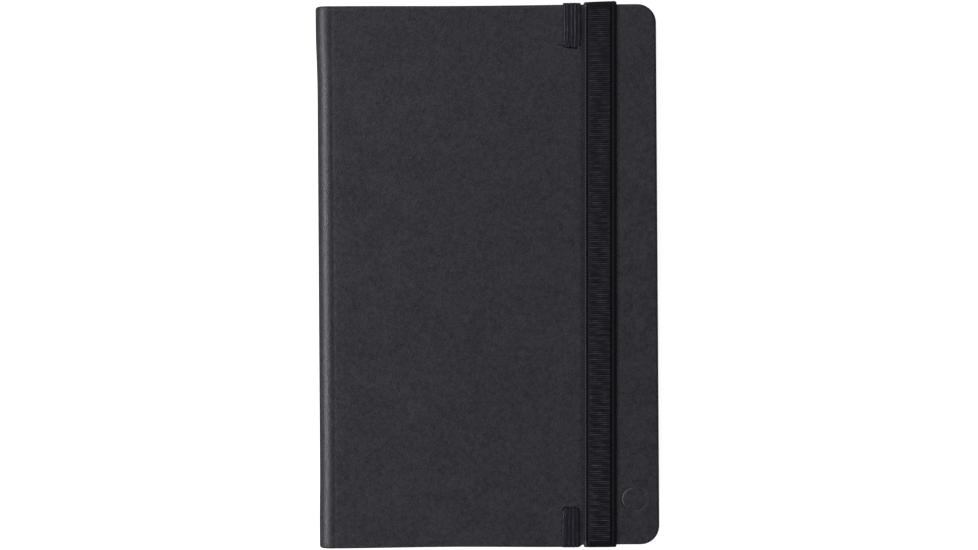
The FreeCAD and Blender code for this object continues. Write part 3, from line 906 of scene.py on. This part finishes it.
def make_strap():
    """The narrow strap: out of the head slit, over the edge, down inside the cover and back up."""
    half = 0.325
    tab = PASTE_HIGH[2] + half - 0.05
    top = FRONT_Z + half
    head_edge = HEAD_Y + half
    tail_edge = -head_edge - 0.25
    inner = PASTE_LOW[2] - half
    corners = [(HEAD_SLIT_Y - 11, tab), (HEAD_SLIT_Y, tab), (HEAD_SLIT_Y, top), (head_edge, top),
               (head_edge, inner), (tail_edge, inner), (tail_edge, top), (TAIL_SLIT_Y, top),
               (TAIL_SLIT_Y, tab), (TAIL_SLIT_Y + 11, tab)]
    radii = [0, 0.4, 0.7, 0.8, 0.5, 0.5, 0.8, 0.7, 0.4, 0]
    points, normal, along = even_path(rounded_path(corners, radii), 0.22)
    width = STRAP_HIGH[0] - STRAP_LOW[0]
    across = np.linspace(0, width, 33)
    share = across / width
    on_top = smooth_step((points[:, 1:] - MIDDLE_Z - 6.6) / 0.8)
    from_slit = np.minimum(np.abs(points[:, :1] - HEAD_SLIT_Y), np.abs(points[:, :1] - TAIL_SLIT_Y))
    end = smooth_step((2.2 - from_slit) / 2.0) * on_top
    left = STRAP_LOW[0] + 0.05 + 0.30 * end + 0.05 * drift(along, 7, 6.0)
    right = STRAP_HIGH[0] - 0.05 - 0.06 * end + 0.05 * drift(along, 8, 6.0)
    outer_x = left * (1 - share) + right * share
    head = points[:, :1] > 0
    ridges = np.zeros(outer_x.shape)
    for number, (at_head, at_tail, size) in enumerate(PLEATS):
        centre = np.where(head, at_head, at_tail) + 0.10 * drift(along, 20 + number, 5.0)
        gathered = width / 2 + (centre - width / 2) * (1 - 0.12 * end)
        swell = 0.92 + 0.3 * drift(along, 30 + number, 3.5)
        ridges = ridges + size * swell * bell(across - gathered, 0.13)
    height = 0.12 - 0.13 * np.abs(2 * share - 1) ** 4 + ridges
    height = height + 0.02 * wave_noise(across[None, :] * 2.5, along[:, None] * 0.5, SEED + 9, 1.5)
    fold = smooth_step((np.abs(points[:, :1]) - HEAD_Y + 0.2) / 0.5)
    height = height * (1 - 0.35 * fold) * smooth_step(np.minimum(share, 1 - share) / 0.07 + 0.12)
    inner_x = outer_x[:, [0, len(across) // 2, -1]]
    under = np.full(inner_x.shape, -0.22) + 0.1 * fold
    mesh, faces = strip_mesh(points, -normal, outer_x, height, inner_x, under, False)
    # Painted light: the head end is painted lighter than the tail end, as light falls from the head side, and
    # each pleat ridge carries a painted highlight.
    painted_shading = np.concatenate([np.where(head, 0.31, 0.235) + ridges * 3.6, np.full(inner_x.shape, 0.25)], 1)
    x, y, z = mesh.T
    in_slit = (y < HEAD_SLIT_Y + 0.6) & (y > TAIL_SLIT_Y - 0.6) & (z > PASTE_HIGH[2])
    free = np.where(in_slit, smooth_step((z - FRONT_Z + 1.4) / 1.2), 1)
    mesh[:, 0] = x + (STRAP_SHIFT + STRAP_LEAN * y) * free
    strap = make_piece("strap_elastic", mesh, faces, STRAP_ELASTIC, painted_shading=painted_shading)
    ride(strap, "front_cover", "strap_elastic", "page_strap")


# ---- pages

def page_rows(half, radius, middle=5, corner=7):
    """Y places down a page, close together at its rounded corners."""
    turn = corner_places(half, radius, corner)
    straight = np.linspace(-half + radius, half - radius, middle + 2)[1:-1]
    return np.concatenate([-turn[::-1], straight, turn])


def two_sides(path, thickness):
    """The (x, z) points of the two sides of a sheet over a path."""
    offset = left_normals(path) * thickness / 2
    return path + offset, path - offset


def page_sheet(path, thickness, flat_from, rows, end_x, radius):
    """A closed thin sheet over a path of (x, z) points whose far end has two rounded corners."""
    row_end = corner_reach(np.abs(rows), rows[-1], end_x, radius)
    share = np.clip((path[:, 0] - flat_from) / (end_x - flat_from), 0, 1)
    shorter = share[None, :] * (end_x - row_end)[:, None]
    y = np.repeat(rows[:, None], len(path), 1)
    sides = [points_at(side[:, 0] - shorter, y, side[:, 1]) for side in two_sides(path, thickness)]
    return sheet_solid(*sides, flip=True)


def folded_leaf_path(fold_x, low, high, thickness, end_x):
    """Fore-edge to fold to fore-edge: the middle line of one folded sheet."""
    bend = (high - low - thickness) / 2
    centre = (fold_x + thickness / 2 + bend, (low + high) / 2)
    shares = np.array([1, 0.97, 0.8, 0.4, 0.05])
    lower = [(centre[0] + (end_x - centre[0]) * s, low + thickness / 2) for s in shares]
    turn = [(centre[0] - bend * math.cos(a), centre[1] + bend * math.sin(a))
            for a in np.linspace(-math.pi / 2, math.pi / 2, 9)]
    upper = [(centre[0] + (end_x - centre[0]) * s, high - thickness / 2) for s in shares[::-1]]
    return np.array(lower + turn + upper)


SHEETS_PER_SIGNATURE = 4
PAGE_CORNER = 4.0


def make_signatures():
    rng = np.random.default_rng(SEED)
    names = sorted(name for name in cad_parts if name.startswith("signature_"))
    for name in names:
        low, high = box_mm(name)
        pitch = (high[2] - low[2]) / (2 * SHEETS_PER_SIGNATURE)
        sheets = []
        for number in range(SHEETS_PER_SIGNATURE):
            inset = pitch * number
            end_x = high[0] - rng.uniform(0, 0.06)
            rows = page_rows(high[1] - rng.uniform(0, 0.05), PAGE_CORNER)
            path = folded_leaf_path(low[0] + inset, low[2] + inset, high[2] - inset, pitch * 0.9, end_x)
            sheets.append(page_sheet(path, pitch * 0.9, low[0] + 2.0, rows, end_x, PAGE_CORNER))
        pages = make_piece("pages_" + name[-2:], *joined(sheets), PAGE_PAPER, crisp=True)
        ride(pages, "text_block", "paper", name)


# Where a leaf is held, where it has finished bending, and where its rounded end begins
LEAF_ROOT_X = -41.95
LEAF_FREE_X = -38.95
LEAF_FLAT_X = -30.0


def leaf_piece(node, material, bent, flat, rows, trim=0.0):
    """One leaf with that many points over its bend and its flat. trim shortens it a little."""
    low, high = box_mm(node)
    xs = np.linspace(LEAF_ROOT_X, LEAF_FREE_X, bent)
    xs = np.concatenate([xs, np.linspace(LEAF_FREE_X, high[0], flat)[1:]])
    path = points_at(xs, (low[2] + high[2]) / 2)
    rows = page_rows(high[1] - trim * 1.5, PAGE_CORNER, middle=rows)
    mesh, faces = page_sheet(path, (high[2] - low[2]) * 0.9, LEAF_FLAT_X, rows, high[0] - trim, PAGE_CORNER)
    return make_piece(node + "_page", mesh, faces, material, crisp=True)


def make_leaves():
    turning = [("leaf_1", PAGE_PAPER, "paper", 0.02), ("leaf_2", PAGE_PAPER, "paper", 0.04),
               ("leaf_3", PAGE_PAPER, "paper", 0.0), ("front_flyleaf", END_PAPER, "endpaper", 0.02)]
    for node, material, slot, trim in turning:
        leaf = leaf_piece(node, material, 25, 14, 15, trim)
        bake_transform(leaf)
        stand_in(leaf, slot, node)
    ride(leaf_piece("back_flyleaf", END_PAPER, 5, 10, 5), "text_block", "endpaper", "back_flyleaf")


# Where an endpaper leaves the pages, its corner radius, and how far the covers' turn-ins reach under it
GUTTER_Z = 12.80
PASTE_CORNER = 2.3
TURN_IN = 12.0


def make_pastedown(name, node, to_back):
    """An endpaper glued to its board, with the strip of it that crosses the joint to the pages."""
    low, high = box_mm(node)
    middle = (PASTE_LOW[2] + PASTE_HIGH[2]) / 2
    ease = np.linspace(0, 1, 25)
    bend = points_at(LEAF_ROOT_X + (low[0] - LEAF_ROOT_X) * ease,
                     GUTTER_Z + (middle - GUTTER_Z) * smooth_step(ease))
    flat = lines(low[0], high[0], 2.0, [(high[0] - 12, high[0] - 8, 0.3)])[1:]
    path = np.concatenate([bend, points_at(flat, middle)])
    rows = page_rows(high[1], PASTE_CORNER, middle=60, corner=5)
    mesh, faces = page_sheet(path, (high[2] - low[2]) * 0.9, 0.0, rows, high[0], PASTE_CORNER)
    step = np.maximum(smooth_step((np.abs(mesh[:, 1]) - HEAD_Y + TURN_IN) / 0.8),
                      smooth_step((mesh[:, 0] - FORE_X + TURN_IN) / 0.8))
    mesh[:, 2] -= 0.03 * step * (mesh[:, 0] > low[0] + 1)
    start = (LEAF_ROOT_X * MM, 0, GUTTER_Z * MM)
    end = (low[0] * MM, 0, middle * MM)
    if to_back:
        mesh[:, 2] = 2 * MIDDLE_Z - mesh[:, 2]
        start, end = mirrored(start), mirrored(end)
        faces = [f[::-1] for f in faces]
    paste = make_piece(name, mesh, faces, END_PAPER, crisp=True)
    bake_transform(paste)
    stand_in(paste, "endpaper", node)


# ---- the spine's inside

def make_endband(name, node):
    """A cotton roll wrapped in two colours, sewn over the tape that glues it to the spine."""
    low, high = box_mm(node)
    side = 1 if high[1] > 0 else -1
    outer = high[1] if side > 0 else -low[1]
    radius = 0.65
    zs = np.arange(low[2], high[2], ENDBAND_PITCH / 6)
    wraps = 0.05 * np.abs(np.sin(2 * math.pi * (zs - low[2]) / ENDBAND_PITCH))
    path = points_at(low[0] + radius, side * (outer - radius), zs)
    roll = tube_mesh(path, radius - 0.05 + wraps, sides=18)
    tape_y = np.linspace(outer - radius - 8.0, outer - 1.2, 24)
    tape_z = np.linspace(low[2] + 0.1, high[2] - 0.1, 22)
    y, z = np.meshgrid(side * tape_y, tape_z, indexing="ij")
    weave = 0.015 * np.sin(y * 9) * np.sin(z * 9)
    tape = sheet_solid(points_at(low[0] + 0.14 + weave, y, z), points_at(low[0] + 0.02, y, z), flip=side < 0)
    band = make_piece(name, *joined([roll, tape]), ENDBAND)
    ride(band, "text_block", "endband", node)


SEWING_STATIONS = (-55.0, -35.0, -12.0, 12.0, 35.0, 55.0)
STITCH_LOOP = 0.79


def make_thread():
    """The linked stitches up the back of the signatures, one column at each sewing station."""
    low, high = box_mm("sewing_thread")
    columns = []
    zs = np.arange(low[2], high[2], 0.06)
    turn = 2 * math.pi * (zs - low[2]) / STITCH_LOOP
    for y in SEWING_STATIONS:
        path = points_at((low[0] + high[0]) / 2 + 0.05 * np.cos(turn), y + 0.10 * np.sin(turn), zs)
        columns.append(twisted(path, 0.12, 0.6))
    thread = make_piece("sewing_stitches", *joined(columns), SEWING)
    ride(thread, "text_block", "thread", "sewing_thread")


def make_mull():
    """Open cotton gauze on the spine, woven over and under."""
    low, high = box_mm("spine_mull")
    pitch = 1.1
    threads = []
    for across, along, lift in ((1, 2, 0.045), (2, 1, -0.045)):
        starts = [low[k] + 0.3 for k in (across, along)]
        counts = [len(np.arange(low[k] + 0.3, high[k], pitch)) for k in (across, along)]
        run = np.linspace(low[along], high[along], 4 * counts[1])
        for number in range(counts[0]):
            path = np.empty((len(run), 3))
            path[:, 0] = (low[0] + high[0]) / 2
            path[:, 0] += lift * np.cos(math.pi * (run - starts[1]) / pitch + math.pi * number)
            path[:, across] = starts[0] + pitch * number
            path[:, along] = run
            threads.append(tube_mesh(path, 0.055, 5))
    ride(make_piece("spine_gauze", *joined(threads), GAUZE), "text_block", "gauze", "spine_mull")


def make_lining():
    """Kraft paper over the gauze, pressed down a little between the sewing stations."""
    low, high = box_mm("spine_lining")
    y, z = np.meshgrid(lines(low[1], high[1], 1.0), np.linspace(low[2], high[2], 12), indexing="ij")
    dent = 0.03 * wave_noise(y, z, SEED + 12, 5.0) + 0.02 * np.cos(2 * math.pi * (z - low[2]) / STITCH_LOOP)
    sides = points_at(high[0] - 0.05 + dent, y, z), points_at(low[0], y, z)
    ride(make_piece("spine_kraft", *sheet_solid(*sides), KRAFT), "text_block", "lining", "spine_lining")


# ---- the pocket

def make_pocket_panel():
    """The pocket's card front, turned down and glued along the fore-edge."""
    low, high = box_mm("pocket_panel")
    thickness = 0.25
    top = high[2] - thickness / 2
    corners = [(low[0], top), (high[0] - thickness / 2, top), (high[0] - thickness / 2, low[2])]
    path, normal, _ = even_path(rounded_path(corners, [0, 0.3, 0]), 0.35)
    x, y = np.meshgrid(path[:, 0], lines(low[1], high[1], 1.5))
    turned = smooth_step((low[0] + 6.0 - x) / 0.4) + smooth_step((np.abs(y) - 57.9) / 0.4)
    relief = 0.03 * np.clip(turned, 0, 1) - 0.02 + WAVE * wave_noise(x, y, SEED + 15, 24.0)
    sides = []
    for height in (thickness / 2 + relief, -thickness / 2 + 0 * relief):
        sides.append(points_at(x - normal[:, 0] * height, y, path[:, 1] - normal[:, 1] * height))
    panel = make_piece("pocket_front", *sheet_solid(*sides, flip=True), POCKET_CARD, crisp=True)
    ride(panel, "pocket", "pocket_card", "pocket_panel")


def make_gusset(name, node):
    """The folded cloth at one end of the pocket: glued to the pastedown below and the panel above."""
    low, high = box_mm(node)
    side = 1 if high[1] > 0 else -1
    cloth = 0.15
    fold, outer = sorted((abs(low[1]), abs(high[1])))
    z0, z1 = low[2] + cloth / 2, high[2] - cloth / 2
    bend = (z1 - z0) / 2
    turn = [(fold + cloth / 2 + bend - bend * math.cos(a), (z0 + z1) / 2 + bend * math.sin(a))
            for a in np.linspace(-math.pi / 2, math.pi / 2, 9)]
    run = np.linspace(outer, fold + cloth / 2 + bend, 14)[:-1]
    path = np.array([(y, z0) for y in run] + turn + [(y, z1) for y in run[::-1]])
    xs = lines(low[0], high[0], 0.7)[:, None]
    sides = [points_at(xs, side * layer[:, 0], layer[:, 1]) for layer in two_sides(path, -cloth)]
    gusset = make_piece(name, *sheet_solid(*sides, flip=side > 0), POCKET_CLOTH, crisp=True)
    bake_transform(gusset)
    stand_in(gusset, "pocket_cloth", node)


# ---- the boards, the camera and the lights

def paint_frame():
    """Materials for the CAD parts that show as they are."""
    for name in ("front_board", "back_board", "spine_card"):
        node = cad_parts[name]
        node.data.materials.clear()
        node.data.materials.append(BOARD)


# The camera stands this far over the cover and beside its middle, in metres, and is turned a little.
CAMERA_HEIGHT = 0.7082
CAMERA_ASIDE = (0.000365, 0.00005)
CAMERA_TURN = math.radians(-0.38)


def make_camera():
    """Straight down over the cover, as the photograph is taken."""
    data = bpy.data.cameras.new("camera")
    camera = in_scene("camera", data)
    data.lens = 100
    data.sensor_width = 36
    data.clip_start = 0.01
    data.clip_end = 10
    camera.location = (*CAMERA_ASIDE, FRONT_Z * MM + CAMERA_HEIGHT)
    camera.rotation_euler = (0, 0, CAMERA_TURN)
    bpy.context.scene.camera = camera


def area_light(name, place, target, size, power):
    """A rectangular light at a place, turned to a target, with its size in metres and power in watts."""
    data = bpy.data.lights.new(name, "AREA")
    data.shape = "RECTANGLE"
    data.size, data.size_y = size
    data.energy = power
    light = in_scene(name, data)
    light.location = place
    light.rotation_euler = (Vector(target) - Vector(place)).to_track_quat("-Z", "Y").to_euler()
    return light


def make_studio():
    """A white floor, even light from all round, and four lights that shape the covers."""
    reach = FLOOR_REACH / MM
    corners = [(-reach, -reach, 0), (reach, -reach, 0), (reach, reach, 0), (-reach, reach, 0)]
    floor = make_piece("floor", corners, [(0, 1, 2, 3)], floor_look(), closed=False)
    floor.visible_glossy = False
    world = bpy.data.worlds.new("studio")
    world.use_nodes = True
    background = world.node_tree.nodes["Background"]
    background.inputs["Color"].default_value = (1, 1, 1, 1)
    background.inputs["Strength"].default_value = WORLD_LIGHT
    bpy.context.scene.world = world
    area_light("overhead", (-0.45, 0.85, 1.3), (0, 0, 0), (1.4, 0.7), 5.8)
    area_light("spine_side", (-0.37, 0.01, 0.234), (0, 0, 0.02), (0.42, 0.12), 1.8)
    area_light("head_side", (-0.8, 1.0, 0.35), (0, 0, 0), (0.5, 0.3), 4)
    fill = area_light("tail_fill", (-0.15, -0.75, 0.9), (0, 0, 0), (1.0, 0.4), 9.5)
    fill.visible_glossy = False
    bpy.context.scene.view_settings.view_transform = "Standard"


make_camera()
make_studio()
paint_frame()
make_case()
make_closure()
make_stitching()
make_strap()
make_signatures()
make_leaves()
make_pastedown("front_pastedown_paper", "front_pastedown", False)
make_pastedown("back_pastedown_paper", "back_pastedown", True)
make_endband("headband_roll", "headband")
make_endband("tailband_roll", "tailband")
make_thread()
make_mull()
make_lining()
make_pocket_panel()
make_gusset("gusset_head", "pocket_gusset_head")
make_gusset("gusset_tail", "pocket_gusset_tail")
